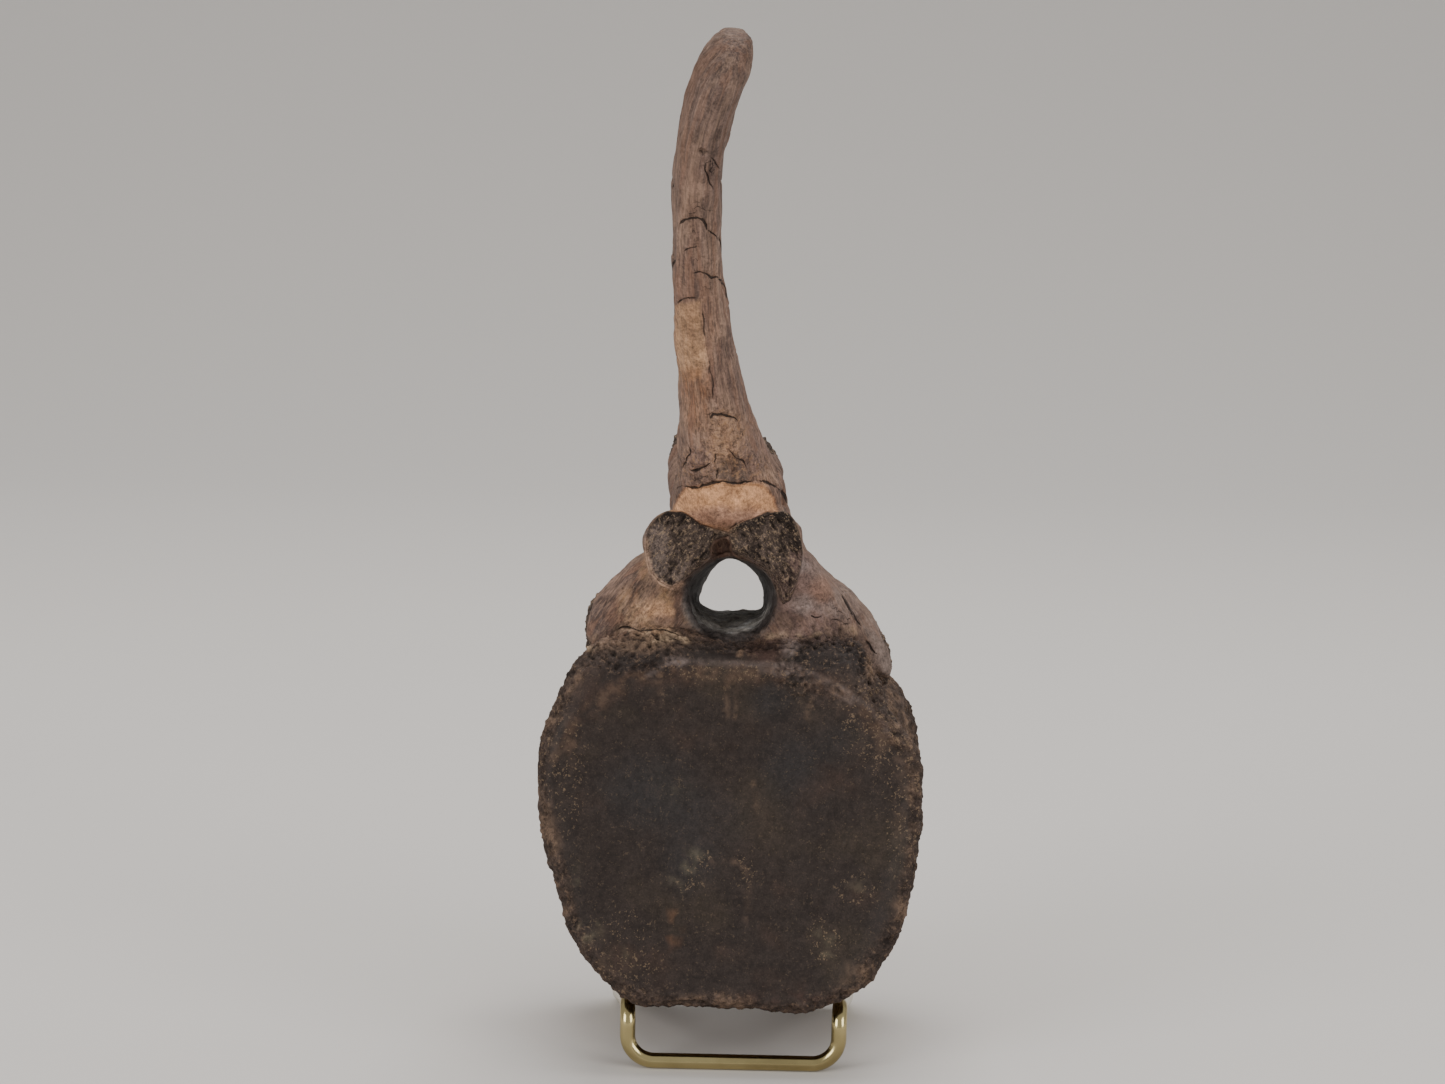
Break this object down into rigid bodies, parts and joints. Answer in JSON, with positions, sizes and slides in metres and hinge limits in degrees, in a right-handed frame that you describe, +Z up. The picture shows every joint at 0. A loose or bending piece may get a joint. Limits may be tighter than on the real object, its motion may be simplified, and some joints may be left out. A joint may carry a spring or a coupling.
{
  "type": "fossil dinosaur vertebra on a wire stand",
  "caption": "Fossil tail vertebra with a spool-shaped body, a neural canal and a long leaning spine, resting on a small bent-wire stand.",
  "frame": {"origin": "on the ground, at the middle of the object's footprint box", "axes": "+Z up, -Y towards the rear articular face of the bone, which faces the viewer, +X to the viewer's right"},
  "size_m": [0.1078, 0.1302, 0.2806],
  "materials": {
    "fossil_bone": "dry mineralised bone, dark brown body with tan and grey-brown broken surfaces",
    "brass_wire": "polished pale brass plating"
  },
  "bodies": {
    "root": {"vertebra": "fossil_bone", "wire_stand": "brass_wire"}
  },
  "joints": []
}
